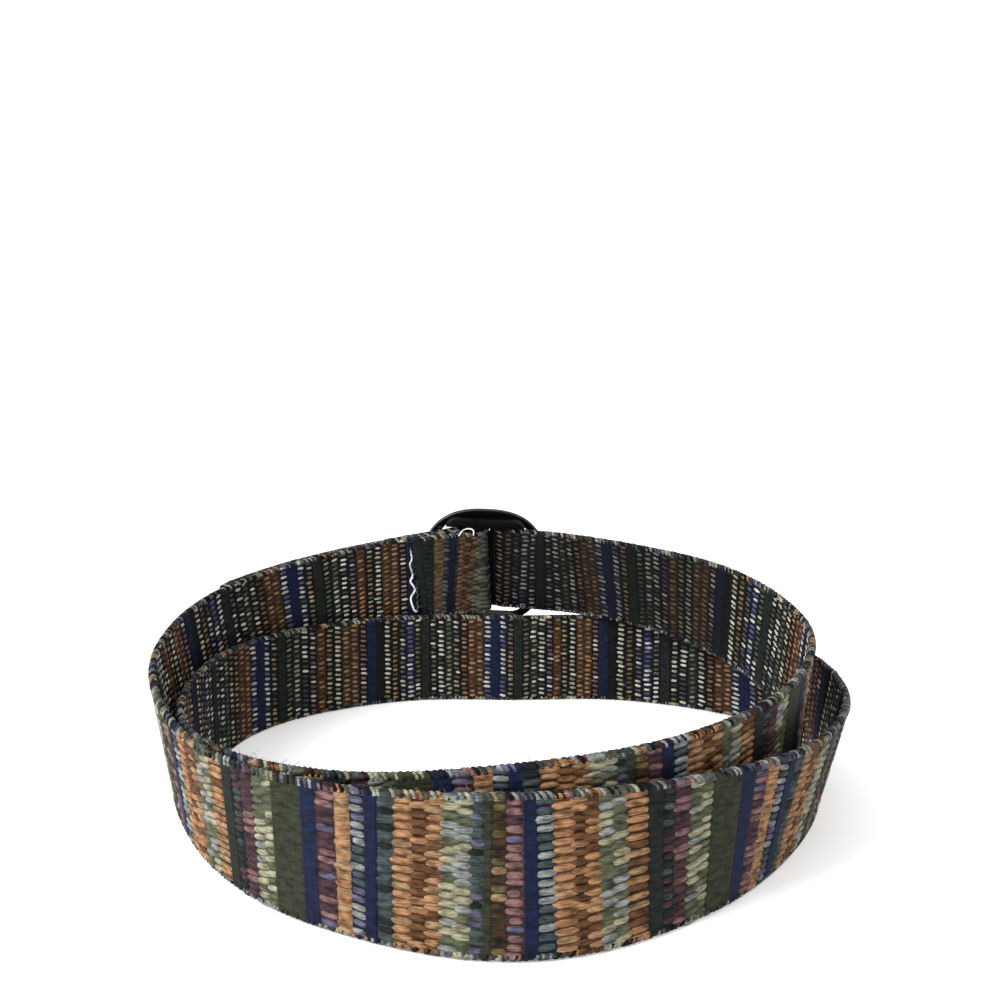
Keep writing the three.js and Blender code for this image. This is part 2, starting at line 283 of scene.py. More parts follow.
end_turn = BUCKLE_TURN + TWO_TURNS
bend_turn = turn_after(BUCKLE_TURN, -BEND_OFFSET)
threaded_turn = turn_after(BUCKLE_TURN, SLOT_REACH)
arriving_turn = turn_after(end_turn, -(RAIL_REACH + SETTLING_LENGTH))
route = layer(turn_after(BUCKLE_TURN, SEWN_FOLD_LENGTH), bend_turn, fold_depth)
route += bend_round_bar()
route += layer(bend_turn, threaded_turn, fixed_depth)
route += layer(threaded_turn, arriving_turn, open_depth)[1:-1]
route += layer(arriving_turn, end_turn, arriving_depth)[:-1]
route += layer(end_turn, turn_after(end_turn, FREE_END_LENGTH), free_depth)
print(len(route), "points along the band")

# %% [markdown]
# From here on a place on the belt is three numbers, as a weaver would give it: how far along the band,
# how far across it, and how deep through it. One function turns them into a point in the room. The belt
# is set over the origin by matching the band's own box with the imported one.
#
# Beside the buckle the photo's stripes stand straighter than the band does, as if the sewing had pulled
# the weave askew. So there they lean along the band, by a share of their place across it.

# %% From band measures to the room
route_points = np.array([point for point, up in route])
route_ups = np.array([up for point, up in route])
route_ahead = np.gradient(route_points, axis=0)
route_ahead /= np.linalg.norm(route_ahead, axis=1)[:, None]
route_through = np.cross(route_ahead, route_ups)
route_through /= np.linalg.norm(route_through, axis=1)[:, None]
route_lengths = np.concatenate([[0], np.cumsum(np.linalg.norm(np.diff(route_points, axis=0), axis=1))])
WEB_LENGTH = route_lengths[-1]


def blended(along, table):
    return np.stack([np.interp(along, route_lengths, table[:, k]) for k in range(3)], axis=-1)


Skew = namedtuple("Skew", "along share")
WEAVE_SKEW = [Skew(0, 0), Skew(8, 0.17), Skew(24, 0.17), Skew(36, -0.15), Skew(75, -0.12), Skew(135, 0)]
skew_table = np.array(WEAVE_SKEW, float)


def on_band(along, across, depth):
    """Points in mm from lengths along the band, across it and out through it."""
    along, across, depth = np.broadcast_arrays(along, across, depth)
    along = along + across * np.interp(along, skew_table[:, 0], skew_table[:, 1])
    sideways = across[..., None] * blended(along, route_ups)
    outwards = depth[..., None] * blended(along, route_through)
    return blended(along, route_points) + sideways + outwards


corner_across = np.array([1, 1, -1, -1]) * WEB_WIDTH / 2
corner_depth = np.array([1, -1, 1, -1]) * WEB_THICKNESS / 2
band_corners = on_band(route_lengths[:, None], corner_across, corner_depth).reshape(-1, 3)
packed_low, packed_high = (np.array(corner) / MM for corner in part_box("webbing_strap"))
CENTRING = (packed_low + packed_high - band_corners.min(0) - band_corners.max(0)) / 2
CENTRING[2] = packed_low[2] - band_corners[:, 2].min()
print("Band", round(WEB_LENGTH), "mm long, moved by", CENTRING.round(2))
print("Box differs by", (band_corners.max(0) + CENTRING - packed_high).round(2), "mm")

# %% [markdown]
# ## Colours and a node helper
#
# Colours are picked as web colours, which are gamma-coded, while a shader wants linear light. One
# function converts them. A second small function adds any node with its settings and links.


# %% Colour and node helpers
def linear(colour):
    """An sRGB web colour as the linear RGBA that a shader wants."""
    channels = [int(colour[i : i + 2], 16) / 255 for i in (1, 3, 5)]
    return [c / 12.92 if c <= 0.04045 else ((c + 0.055) / 1.055) ** 2.4 for c in channels] + [1.0]


def add_node(material, kind, links=None, **settings):
    """Adds a node. Settings name its properties or its inputs, and links feed its inputs."""
    node = material.node_tree.nodes.new(kind)
    for name, value in settings.items():
        if hasattr(node, name):
            setattr(node, name, value)
        else:
            node.inputs[name.replace("_", " ")].default_value = value
    for name, source in (links or {}).items():
        material.node_tree.links.new(source, node.inputs[name])
    return node


def new_material(name):
    """An empty node material and its output's surface socket."""
    material = bpy.data.materials.new(name)
    material.use_nodes = True
    material.node_tree.nodes.clear()
    output = material.node_tree.nodes.new("ShaderNodeOutputMaterial")
    return material, output.inputs["Surface"]


print("Middle grey in linear light:", [round(c, 3) for c in linear("#808080")])

# %% [markdown]
# ## Spun polyester yarn
#
# The belt is woven from thick dyed polyester yarn. Each yarn is a bundle of fine filaments laid almost
# lengthways, which the eye sees as soft streaks and a dull shine along the yarn. Filaments of 0.02 mm are
# far too fine for the picture, so the streaks are drawn as coarse as bundles of them, 0.28 mm across and
# about ten times as long. Each yarn also took the dye a little differently, which patches about as big as
# a float show. The hollows between filaments swallow most of the gloss, so the specular level is low.

# %% Yarn material
YARN_IOR = 1.55
YARN_ROUGHNESS = 0.7
YARN_GLOSS = 0.1
FILAMENT_BUNDLE_MM = 0.28
BUNDLE_LENGTH_MM = 3.0
DYE_PATCH_MM = (3.2, 1.5)
YARN_TONES = (0.13, 0.36)


def stretched_noise(material, measures, length_mm, width_mm, detail):
    """Noise drawn out along the band, from the band's own measures in millimetres."""
    stretch = add_node(
        material,
        "ShaderNodeMapping",
        {"Vector": measures.outputs["UV"]},
        Scale=(1 / length_mm, 1 / width_mm, 1),
    )
    return add_node(
        material, "ShaderNodeTexNoise", {"Vector": stretch.outputs["Vector"]}, Scale=1.0, Detail=detail
    )


def yarn_material(name, colour, dark_colour):
    material, surface = new_material(name)
    measures = add_node(material, "ShaderNodeUVMap", uv_map="band_mm")
    streaks = stretched_noise(material, measures, BUNDLE_LENGTH_MM, FILAMENT_BUNDLE_MM, 2.0)
    patches = stretched_noise(material, measures, *DYE_PATCH_MM, 1.0)
    together = add_node(
        material,
        "ShaderNodeMath",
        {0: streaks.outputs["Fac"], 1: patches.outputs["Fac"]},
        operation="MULTIPLY",
    )
    tones = add_node(material, "ShaderNodeValToRGB", {"Fac": together.outputs[0]})
    dark_stop, lit_stop = tones.color_ramp.elements
    dark_stop.position, lit_stop.position = YARN_TONES
    dark_stop.color = linear(dark_colour)
    lit_stop.color = linear(colour)
    relief = add_node(
        material, "ShaderNodeBump", {"Height": streaks.outputs["Fac"]}, Strength=0.8, Distance=0.2 * MM
    )
    shader = add_node(
        material,
        "ShaderNodeBsdfPrincipled",
        {"Base Color": tones.outputs["Color"], "Normal": relief.outputs["Normal"]},
        Roughness=YARN_ROUGHNESS,
        IOR=YARN_IOR,
        Specular_IOR_Level=YARN_GLOSS,
    )
    material.node_tree.links.new(shader.outputs["BSDF"], surface)
    return material


Dye = namedtuple("Dye", "lit shaded")
DYES = {
    "navy": Dye("#111b39", "#070b1c"),
    "slate": Dye("#414a4a", "#171d1e"),
    "olive": Dye("#303324", "#161810"),
    "moss": Dye("#595c46", "#272a21"),
    "tan": Dye("#a07755", "#4f351d"),
    "rust": Dye("#63432c", "#2c1b0c"),
    "cream": Dye("#99957c", "#565340"),
    "pale": Dye("#868984", "#434646"),
    "bone": Dye("#c4c1b4", "#6e6c62"),
    "sand": Dye("#937959", "#4d3925"),
    "gold": Dye("#665534", "#2e2514"),
    "rose": Dye("#7c5d5a", "#3c2a29"),
    "maroon": Dye("#452f35", "#1c1117"),
    "lilac": Dye("#5d596f", "#2b2835"),
    "peach": Dye("#9d7a5a", "#553925"),
    "brown": Dye("#402c1d", "#170f09"),
    "pine": Dye("#1b221f", "#090c0a"),
    "black": Dye("#0e0f10", "#040405"),
}
print(len(DYES), "dyes")

# %% [markdown]
# The web is darker beside the buckle: on the fold's outer face, on the inner face of the stretch that
# arrives there, and nearly black at the cut end. That is shade between the layers, which this lesson's
# broad light doesn't give, so it is painted shade: those places get the same yarns a shade darker, picked
# by how far along the band they are. The price is a hard border where the painted shade begins.

# %% Yarns, clean and with painted shade
# Painted shade: how dark it is, and how far along the band it reaches.
PAINTED_SHADE_SHARE = 0.58
PAINTED_SHADE_FOLD = 31.0
PAINTED_SHADE_ARRIVAL = 1195.0
PAINTED_DARK_END = 7.3


def deepened(colour, share):
    """A web colour with each channel cut to a share."""
    return "#" + "".join(f"{round(int(colour[i : i + 2], 16) * share):02x}" for i in (1, 3, 5))


yarns = {name: yarn_material(f"{name}_polyester_yarn", dye.lit, dye.shaded) for name, dye in DYES.items()}
# Darker copies of every yarn, used as painted shade beside the buckle.
painted_shade_yarns = [
    yarn_material(f"{name}_polyester_yarn_painted_shade", *(deepened(colour, PAINTED_SHADE_SHARE) for colour in dye))
    for name, dye in DYES.items()
]
YARN_NAMES = list(yarns)
all_yarns = list(yarns.values()) + painted_shade_yarns


def with_painted_shade(numbers, along, outside):
    """Yarn numbers of one face, with painted shade: nearly black at its cut end and darker beside the buckle.
    """
    if outside:
        darkened = np.where(along < PAINTED_SHADE_FOLD, numbers + len(yarns), numbers)
        return np.where(along < PAINTED_DARK_END, YARN_NAMES.index("pine"), darkened)
    return np.where(along > PAINTED_SHADE_ARRIVAL, numbers + len(yarns), numbers)


print(len(all_yarns), "yarns in", ", ".join(YARN_NAMES))

# %% [markdown]
# ## Stripes
#
# The belt's coloured bars run across it and repeat every thirty columns, about 107 mm. In each column a
# few yarns float over the ground. The outer and inner faces show different sets of the same yarns, as on
# any double cloth. A stripe names the yarns that float in it, the ground behind them, how long a float is
# as a share of the column, how far it slants, and its width beside the others'. A stripe without floats is
# plain ribbed ground. On the sewn fold the columns are pulled narrow, so that their edges have a row of
# their own.

# %% Stripe charts
Stripe = namedtuple("Stripe", "floats ground reach slant width", defaults=[1.0])
OUTER_STRIPES = [
    Stripe("", "navy", 0, 0, 1.2),
    Stripe("rose maroon rose maroon lilac", "maroon", 1.1, 5, 1.3),
    Stripe("sand tan sand peach", "tan", 1.15, 3, 1.1),
    Stripe("pale slate lilac pale", "navy", 1.1, 8, 1.0),
    Stripe("", "navy", 0, 0, 0.8),
    Stripe("slate slate pine", "slate", 1.1, 3, 1.1),
    Stripe("sand tan peach tan", "rust", 1.3, 2, 1.1),
    Stripe("tan rust tan rust", "brown", 1.4, 2, 1.0),
    Stripe("tan sand peach rust", "rust", 1.35, 2, 0.95),
    Stripe("cream pale cream moss", "moss", 1.6, 5, 0.9),
    Stripe("cream pale cream moss", "moss", 1.6, 5, 0.8),
    Stripe("slate lilac slate pine", "slate", 1.1, 4, 0.85),
    Stripe("", "olive", 0, 0, 0.5),
    Stripe("gold sand gold brown", "olive", 1.15, 0, 0.9),
    Stripe("rose lilac rose maroon", "maroon", 1.1, 3, 1.05),
    Stripe("", "navy", 0, 0, 0.85),
    Stripe("pale slate pale", "navy", 1.2, -4, 1.1),
    Stripe("tan sand tan peach", "rust", 1.35, -4, 1.2),
    Stripe("rust tan rust", "brown", 1.5, -4, 0.85),
    Stripe("tan rust peach", "rust", 1.4, -4, 0.85),
    Stripe("moss cream moss pale", "moss", 1.35, -9, 0.9),
    Stripe("cream moss pale", "moss", 1.4, -9, 0.9),
    Stripe("tan rust tan sand", "brown", 1.2, -4, 1.5),
    Stripe("", "pine", 0, 0, 1.0),
    Stripe("maroon slate pine", "pine", 1.0, 0, 0.9),
    Stripe("maroon rose maroon", "maroon", 1.2, -6, 1.2),
    Stripe("cream moss pale", "moss", 1.5, -10, 0.9),
    Stripe("moss cream moss", "moss", 1.4, -10, 0.75),
    Stripe("", "olive", 0, 0, 1.1),
    Stripe("", "olive", 0, 0, 1.3),
]
INNER_STRIPES = [
    Stripe("", "navy", 0, 0),
    Stripe("rose bone rose", "black", 0.95, -8),
    Stripe("peach rose sand", "brown", 0.9, -4),
    Stripe("peach sand gold", "brown", 0.9, 4),
    Stripe("bone cream bone", "black", 0.95, -8),
    Stripe("sand cream moss", "black", 0.85, -4),
    Stripe("peach tan rust", "brown", 0.9, 4),
    Stripe("lilac rose bone", "black", 0.95, -8),
    Stripe("bone bone slate", "black", 1.05, -8),
    Stripe("bone moss cream", "pine", 0.85, 4),
    Stripe("moss cream moss", "black", 0.85, 8),
    Stripe("", "pine", 0, 0),
    Stripe("sand cream moss", "black", 0.85, -8),
    Stripe("bone lilac bone", "navy", 0.9, -12),
    Stripe("", "navy", 0, 0),
    Stripe("bone bone lilac", "navy", 1.1, -5),
    Stripe("peach sand gold", "brown", 0.85, 0),
    Stripe("peach tan rust", "brown", 0.85, 0),
    Stripe("tan peach rust", "black", 0.9, -4),
    Stripe("bone cream moss", "black", 0.9, -8),
    Stripe("moss cream moss", "pine", 0.8, 6),
    Stripe("bone slate bone", "black", 1.0, -6),
    Stripe("slate moss bone", "black", 0.8, 0),
    Stripe("", "pine", 0, 0),
    Stripe("moss bone moss", "black", 0.85, 6),
    Stripe("bone lilac", "navy", 1.0, 4),
    Stripe("lilac bone slate", "black", 0.85, -8),
    Stripe("sand peach gold", "black", 0.85, 4),
    Stripe("bone cream bone", "black", 0.95, -8),
    Stripe("", "black", 0, 0),
]
COLUMNS = len(OUTER_STRIPES)
OUTER_REPEATS = [-106.5, -1.0, 97, 204, 311, 422.5, 534, 647.5, 762, 877, 991.5, 1104, 1216, 1328, 1440]
INNER_REPEATS = [-45, 66, 178, 295, 412, 529, 647, 748.5, 862, 975, 1088, 1198, 1308.5, 1420, 1532]
FOLD_EDGES = [10.7, 13.3, 15.9, 17.3, 19.7, 22.1, 24.5, 27.1, 29.8]


def column_edges(repeats, stripes):
    """Where each column of the chart starts along the band, from the places where its repeats start."""
    starts = np.array(repeats, float)
    widths = np.array([stripe.width for stripe in stripes])
    shares = (np.cumsum(widths) - widths) / widths.sum()
    inside = starts[:-1, None] + shares * np.diff(starts)[:, None]
    return np.append(inside.ravel(), starts[-1])


outer_edges = column_edges(OUTER_REPEATS, OUTER_STRIPES)
inner_edges = column_edges(INNER_REPEATS, INNER_STRIPES)
outer_edges[COLUMNS + 3 : COLUMNS + 12] = FOLD_EDGES
print("Columns", np.diff(outer_edges).mean().round(2), "mm wide,", COLUMNS, "to a repeat")

# %% [markdown]
# ## Meshes from arrays
#
# Thousands of yarns are quicker to make as arrays than as objects. This helper makes one mesh from them,
# with a material for each face and two UV maps: one in band millimetres for the textures, and one that
# folds the long band into a square of six strips, so that a baked map has room for it.

# %% Mesh helper
STRIPS = 6
STRIP_LENGTH = WEB_LENGTH / STRIPS
STRIP_ROOM = 50.0


def new_piece(name, points, faces, measures=None, face_yarns=None, materials=(), smooth=True):
    """An object from points in mm, with its band measures as UV maps, riding on the belt."""
    mesh = bpy.data.meshes.new(name)
    mesh.from_pydata(((points + CENTRING) * MM).tolist(), [], faces)
    for material in materials:
        mesh.materials.append(material)
    if face_yarns is not None:
        mesh.polygons.foreach_set("material_index", np.asarray(face_yarns, np.int32))
    mesh.polygons.foreach_set("use_smooth", np.full(len(mesh.polygons), smooth))
    if measures is not None:
        corner_points = np.empty(len(mesh.loops), np.int32)
        mesh.loops.foreach_get("vertex_index", corner_points)
        along, across = measures[corner_points].T
        face_of_corner = np.repeat(np.arange(len(mesh.polygons)), [len(f) for f in faces])
        first_corner = np.unique(face_of_corner, return_index=True)[1]
        strip = np.clip(along[first_corner] // STRIP_LENGTH, 0, STRIPS - 1)[face_of_corner]
        strip_across = (strip + 0.5 + across / STRIP_ROOM) / STRIPS
        folded = np.stack([along / STRIP_LENGTH - strip, strip_across], axis=1)
        mesh.uv_layers.new(name="band_mm").data.foreach_set("uv", np.stack([along, across], axis=1).ravel())
        mesh.uv_layers.new(name="OFBake").data.foreach_set("uv", folded.ravel())
    mesh.validate()
    piece = bpy.data.objects.new(name, mesh)
    bpy.context.scene.collection.objects.link(piece)
    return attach(piece, "root")


def triangles_in(piece):
    return sum(len(face.vertices) - 2 for face in piece.data.polygons)


print("A strip of the folded map is", round(STRIP_LENGTH), "mm long")

# %% [markdown]
# ## The woven ground
#
# Behind the floats, thick weft lies straight across the band, three picks to a column, packed so hard
# that it shows as fine ribs. In plain stripes these ribs are the surface itself and stand as high as the
# floats do elsewhere. The ground is one closed band with the ribs in its faces and a rounded selvage.

# %% Woven ground
COLUMN_WIDTH = 3.6
PICKS_PER_COLUMN = 3
STEPS_PER_PICK = 4
GROUND_DEPTH = 0.6
PLAIN_DEPTH = 0.95
PICK_RISE = {"outer": 0.08, "inner": 0.26}
SELVAGE_ROUND = 1.0
EDGE_ACROSS = WEB_WIDTH / 2 - 0.25


def in_columns(along, edges):
    """Column numbers, with fractions, at lengths along the band."""
    return np.interp(along, edges, np.arange(len(edges)))


def ground_depth(along, edges, stripes, rise):
    """How far a face of the ground stands from the band's middle."""
    columns = in_columns(along, edges)
    plain = np.array([stripe.floats == "" for stripe in stripes])[columns.astype(int) % COLUMNS]
    ribs = np.abs(np.sin(np.pi * columns * PICKS_PER_COLUMN))
    return np.where(plain, PLAIN_DEPTH, GROUND_DEPTH) + rise * ribs


def ground_section():
    """Places across the band and shares of its depth, once round its section."""
    turns = np.radians([90, 55, 25])
    edge = EDGE_ACROSS - SELVAGE_ROUND
    upper = [(edge + SELVAGE_ROUND * math.cos(a), math.sin(a)) for a in turns] + [(EDGE_ACROSS, 0)]
    lower_outer = [(-across, share) for across, share in upper[::-1]]
    outer = upper[::-1] + lower_outer[::-1]
    inner = [(across, -share) for across, share in outer[1:-1]]
    return np.array(outer + inner[::-1])


def ground_yarns(along, edges, stripes):
    """Numbers of the ground's yarns at lengths along the band."""
    numbers = np.array([YARN_NAMES.index(stripe.ground) for stripe in stripes])
    return numbers[in_columns(along, edges).astype(int) % COLUMNS]


def make_ground():
    section = ground_section()
    count = int(WEB_LENGTH / COLUMN_WIDTH * PICKS_PER_COLUMN * STEPS_PER_PICK)
    along = np.linspace(0, WEB_LENGTH, count + 1)
    outer = ground_depth(along, outer_edges, OUTER_STRIPES, PICK_RISE["outer"])[:, None]
    inner = ground_depth(along, inner_edges, INNER_STRIPES, PICK_RISE["inner"])[:, None]
    across, share = section.T
    depth = np.where(share >= 0, outer, inner) * share
    points = on_band(along[:, None], across, depth).reshape(-1, 3)
    size = len(section)
    rings = np.arange(count)[:, None] * size
    corner = np.arange(size)
    following = (corner + 1) % size
    quads = np.stack([rings + corner, rings + following, rings + size + following, rings + size + corner], -1)
    faces = quads.reshape(-1, 4).tolist()
    faces += [list(range(size))[::-1], list(range(count * size, (count + 1) * size))]
    middles = (along[:-1] + along[1:]) / 2
    # The yarn numbers carry the painted shade beside the buckle and at the cut end.
    outer_yarn = with_painted_shade(ground_yarns(middles, outer_edges, OUTER_STRIPES), middles, True)[:, None]
    inner_yarn = with_painted_shade(ground_yarns(middles, inner_edges, INNER_STRIPES), middles, False)[:, None]
    faces_out = (share + share[following]) >= 0
    face_yarns = np.where(faces_out, outer_yarn, inner_yarn).ravel().tolist() + [0, 0]
    measures = np.stack(np.broadcast_arrays(along[:, None], across), axis=-1).reshape(-1, 2)
    return new_piece("webbing_ground", points, faces, measures, face_yarns, all_yarns)


ground = make_ground()
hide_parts("webbing_strap")
print("Ground of", triangles_in(ground), "triangles")

# %% [markdown]
# ## Floats
#
# A float is a stretch of yarn that rises out of the ground, arches over it and dives in again. Rows of
# them lie side by side across the band, and every second column is set half a row lower, as bricks are,
# so that long floats run in between their neighbours' ends. One float is a low half round that tapers to
# two tips, and arrays repeat it for every place on the chart. The inner face has shorter, thinner ones.

# %% Float shapes
FloatKind = namedtuple("FloatKind", "rings half_width top")
FLOAT_ROWS = 18
ROW_PITCH = 2.03
FLOAT_BASE = 0.45
RING_ANGLES = np.radians([0, 40, 90, 140, 180])
OUTER_FLOAT = FloatKind([(-0.82, 0.72), (-0.4, 1.0), (0.4, 1.0), (0.82, 0.72)], 0.92, 1.2)
INNER_FLOAT = FloatKind([(-0.62, 0.78), (0.0, 1.0), (0.62, 0.78)], 0.68, 1.2)


def float_shape(rings):
    """A float's points, as shares of its half length, half width and height, and its faces."""
    points = [(-1, 0, 0)]
    for place, size in rings:
        points += [(place, size * math.cos(a), size * math.sin(a)) for a in RING_ANGLES]
    points.append((1, 0, 0))
    size = len(RING_ANGLES)
    last = len(points) - 1
    faces = []
    for k in range(size):
        following = (k + 1) % size
        faces.append((0, 1 + following, 1 + k))
        faces.append((last, last - size + k, last - size + following))
        for ring in range(len(rings) - 1):
            start = 1 + ring * size
            faces.append((start + k, start + following, start + size + following, start + size + k))
    return np.array(points), faces


print("An outer float has", len(float_shape(OUTER_FLOAT.rings)[1]), "faces")

# %% [markdown]
# On the inner face the floats lean further than the band climbs, because each is caught down lower at
# its far end. So their slant takes a share of the band's own climb at each place. No two floats of a real
# web are quite alike, so each also gets small random changes, all from one seed.

# %% Floats of one face
CLIMB_SHARE = 0.75
LENGTH_SPREAD = 0.08
WIDTH_SPREAD = 0.09
USUAL_HEIGHT = 0.88
HEIGHT_SPREAD = 0.08
ALONG_SPREAD = 0.18
ACROSS_SPREAD = 0.1


def climb_at(along):
    """How steeply the band climbs at lengths along it."""
    return np.interp(along, route_lengths, route_ahead[:, 2])


def float_places(columns, edges, stripes, rng):
    """Rows of middle, place across, half length, slope and yarn number for a run of columns."""
    places = []
    for column in columns:
        stripe = stripes[column % COLUMNS]
        middle = (edges[column] + edges[column + 1]) / 2
        half_length = (edges[column + 1] - edges[column]) / 2 * stripe.reach
        if stripe.floats == "" or middle < half_length or middle > WEB_LENGTH - half_length:
            continue
        slope = -math.tan(math.radians(stripe.slant))
        for row in range(FLOAT_ROWS):
            across = (row - (FLOAT_ROWS - 1) / 2 + (column % 2 - 0.5) / 2) * ROW_PITCH
            yarn = YARN_NAMES.index(rng.choice(stripe.floats.split()))
            places.append((middle, across, half_length, slope, yarn))
    return np.array(places)


def make_floats(name, columns, edges, stripes, side, seed, kind):
    """The floats of a run of columns, on side 1 for the band's outer face and -1 for the inner."""
    rng = np.random.default_rng(seed)
    places = float_places(columns, edges, stripes, rng)
    middle, across, half_length, slope, yarn = (column[:, None] for column in places.T)
    if side < 0:
        slope = slope + CLIMB_SHARE * climb_at(middle)
    # Painted shade beside the buckle and at the cut end, through the yarn numbers.
    yarn = with_painted_shade(yarn, middle, side > 0)
    loose = rng.normal(0, 1, (5, len(places), 1))
    half_length = half_length * (1 + LENGTH_SPREAD * loose[0])
    half_width = kind.half_width * (1 + WIDTH_SPREAD * np.tanh(loose[4]))
    height = (kind.top - FLOAT_BASE) * (USUAL_HEIGHT + HEIGHT_SPREAD * np.tanh(loose[1]))
    points, shape_faces = float_shape(kind.rings)
    u, v, h = points.T
    along = middle + ALONG_SPREAD * loose[2] + u * half_length
    sideways = across + ACROSS_SPREAD * loose[3] + slope * u * half_length + v * half_width
    depth = side * (FLOAT_BASE + h * height)
    placed = on_band(np.clip(along, 0, WEB_LENGTH), sideways, depth).reshape(-1, 3)
    turned = shape_faces if side > 0 else [face[::-1] for face in shape_faces]
    faces = [[i * len(points) + k for k in face] for i in range(len(places)) for face in turned]
    measures = np.stack(np.broadcast_arrays(along, sideways), axis=-1).reshape(-1, 2)
    face_yarns = np.repeat(yarn.astype(int).ravel(), len(turned))
    piece = new_piece(name, placed, faces, measures, face_yarns, all_yarns)
    print(name, len(places), "floats,", triangles_in(piece), "triangles")
    return piece


half_way = (len(outer_edges) - 1) // 2
first_columns = range(half_way)
last_columns = range(half_way, len(outer_edges) - 1)
all_columns = range(len(inner_edges) - 1)
outer_floats = [
    make_floats("outer_floats_first_turn", first_columns, outer_edges, OUTER_STRIPES, 1, 11, OUTER_FLOAT),
    make_floats("outer_floats_last_turn", last_columns, outer_edges, OUTER_STRIPES, 1, 13, OUTER_FLOAT),
]
inner_floats = make_floats("inner_floats", all_columns, inner_edges, INNER_STRIPES, -1, 12, INNER_FLOAT)

# %% [markdown]
# ## Selvages
#
# At each edge the weft turns round and goes back in, which leaves a row of small loops from one face to
# the other. They take one colour of their stripe, and greys from wear and dust beside it. Each loop is
# a half ring of yarn with a little slant, repeated along both edges.

# %% Selvage loops
LOOP_PITCH = 1.6
LOOP_REACH = 1.0
LOOP_RADIUS = 0.58
LOOP_FOOT = WEB_WIDTH / 2 - LOOP_REACH - LOOP_RADIUS
LOOP_SLANT = 1.0
LOOP_DEPTH = 0.68
LOOP_TURN = 100
REACH_SPREAD = 0.06
PLACE_SPREAD = 0.2
LOOP_STEPS = 7
SELVAGE_YARNS = ["pale", "slate", "pale", "lilac", "slate", "cream", "black", "black"]
LOOP_SIDES = 5
NEVER_AHEAD = [0.3, 0.2, 0.93]


def tube(lines, radius, sides):
    """Closed tubes along many equal lines of points: an array of tubes, steps and 3 coordinates."""
    ahead = np.gradient(lines, axis=1)
    ahead /= np.linalg.norm(ahead, axis=2, keepdims=True)
    aside = np.cross(ahead, np.broadcast_to(NEVER_AHEAD, lines.shape))
    aside /= np.linalg.norm(aside, axis=2, keepdims=True)
    over = np.cross(ahead, aside)
    angles = 2 * np.pi * np.arange(sides) / sides
    radius = np.broadcast_to(radius, lines.shape[:2])[:, :, None, None]
    ring = np.cos(angles)[:, None] * aside[:, :, None] + np.sin(angles)[:, None] * over[:, :, None]
    points = lines[:, :, None] + radius * ring
    count, steps = lines.shape[:2]
    one = []
    for step in range(steps - 1):
        for k in range(sides):
            here = step * sides + k
            following = step * sides + (k + 1) % sides
            one.append((here, following, following + sides, here + sides))
    one += [tuple(range(sides))[::-1], tuple(range((steps - 1) * sides, steps * sides))]
    faces = [[i * steps * sides + k for k in face] for i in range(count) for face in one]
    return points.reshape(-1, 3), faces, len(one)


def make_selvages():
    rng = np.random.default_rng(21)
    middles = np.arange(LOOP_PITCH, WEB_LENGTH - LOOP_PITCH, LOOP_PITCH)
    middles = np.concatenate([middles, middles + LOOP_PITCH / 2])
    edge = np.where(np.arange(len(middles)) < len(middles) // 2, 1, -1)[:, None]
    angles = np.linspace(-LOOP_TURN, LOOP_TURN, LOOP_STEPS) * np.pi / 180
    reach = LOOP_REACH * (1 + REACH_SPREAD * rng.normal(0, 1, (len(middles), 1)).clip(-1, 0.6))
    moved = PLACE_SPREAD * rng.normal(0, 1, (len(middles), 1))
    along = middles[:, None] + LOOP_SLANT * np.sin(angles) + moved
    across = edge * (LOOP_FOOT + reach * np.cos(angles))
    depth = LOOP_DEPTH * np.sin(angles) + 0 * across
    along = along.clip(0, WEB_LENGTH)
    points, faces, faces_each = tube(on_band(along, across, depth), LOOP_RADIUS, LOOP_SIDES)
    numbers = []
    for middle in middles:
        stripe = OUTER_STRIPES[int(in_columns(middle, outer_edges)) % COLUMNS]
        mixed = (stripe.floats or stripe.ground).split()[:1] + [stripe.ground, *SELVAGE_YARNS]
        numbers.append(YARN_NAMES.index(rng.choice(mixed)))
    measures = np.repeat(np.stack([along, across], axis=-1).reshape(-1, 2), LOOP_SIDES, axis=0)
    face_yarns = np.repeat(numbers, faces_each)
    piece = new_piece("selvage_loops", points, faces, measures, face_yarns, all_yarns)
    print("Selvages of", len(middles), "loops,", triangles_in(piece), "triangles")
    return piece


selvages = make_selvages()

# %% [markdown]
# ## Sewn fold
#
# The band's end goes round the buckle's bar, turns back inside and is sewn down near its cut edge with a
# heavy white polyester thread in an uneven zigzag, with a thin grey one beside it. Two loops of thread
# were never trimmed. The stitches are tubes on the face of the layer that the cut edge lies on, so they
# follow the band wherever it goes.

# %% Thread material
THREAD_IOR = 1.55
PLY_PITCH_MM = 0.7
THREAD_TONES = (0, 0.5)
WAVES_PER_UNIT = 20


def thread_material(name, colour, shade):
    """Twisted sewing thread: bright, with the dark lines of its plies every 0.7 mm."""
    material, surface = new_material(name)
    measures = add_node(material, "ShaderNodeTexCoord")
    plies = add_node(
        material,
        "ShaderNodeTexWave",
        {"Vector": measures.outputs["Object"]},
        bands_direction="DIAGONAL",
        Scale=1 / (PLY_PITCH_MM * MM) / WAVES_PER_UNIT,
        Distortion=1.5,
    )
    tones = add_node(material, "ShaderNodeValToRGB", {"Fac": plies.outputs["Fac"]})
    dark_stop, lit_stop = tones.color_ramp.elements
    dark_stop.position, lit_stop.position = THREAD_TONES
    dark_stop.color = linear(shade)
    lit_stop.color = linear(colour)
    shader = add_node(
        material,
        "ShaderNodeBsdfPrincipled",
        {"Base Color": tones.outputs["Color"]},
        Roughness=0.45,
        IOR=THREAD_IOR,
        Sheen_Weight=0.2,
    )
    material.node_tree.links.new(shader.outputs["BSDF"], surface)
    return material


white_thread = thread_material("white_polyester_thread", "#f4f4f2", "#b9bbb9")
grey_thread = thread_material("grey_polyester_thread", "#8a8d8c", "#4a4d4e")

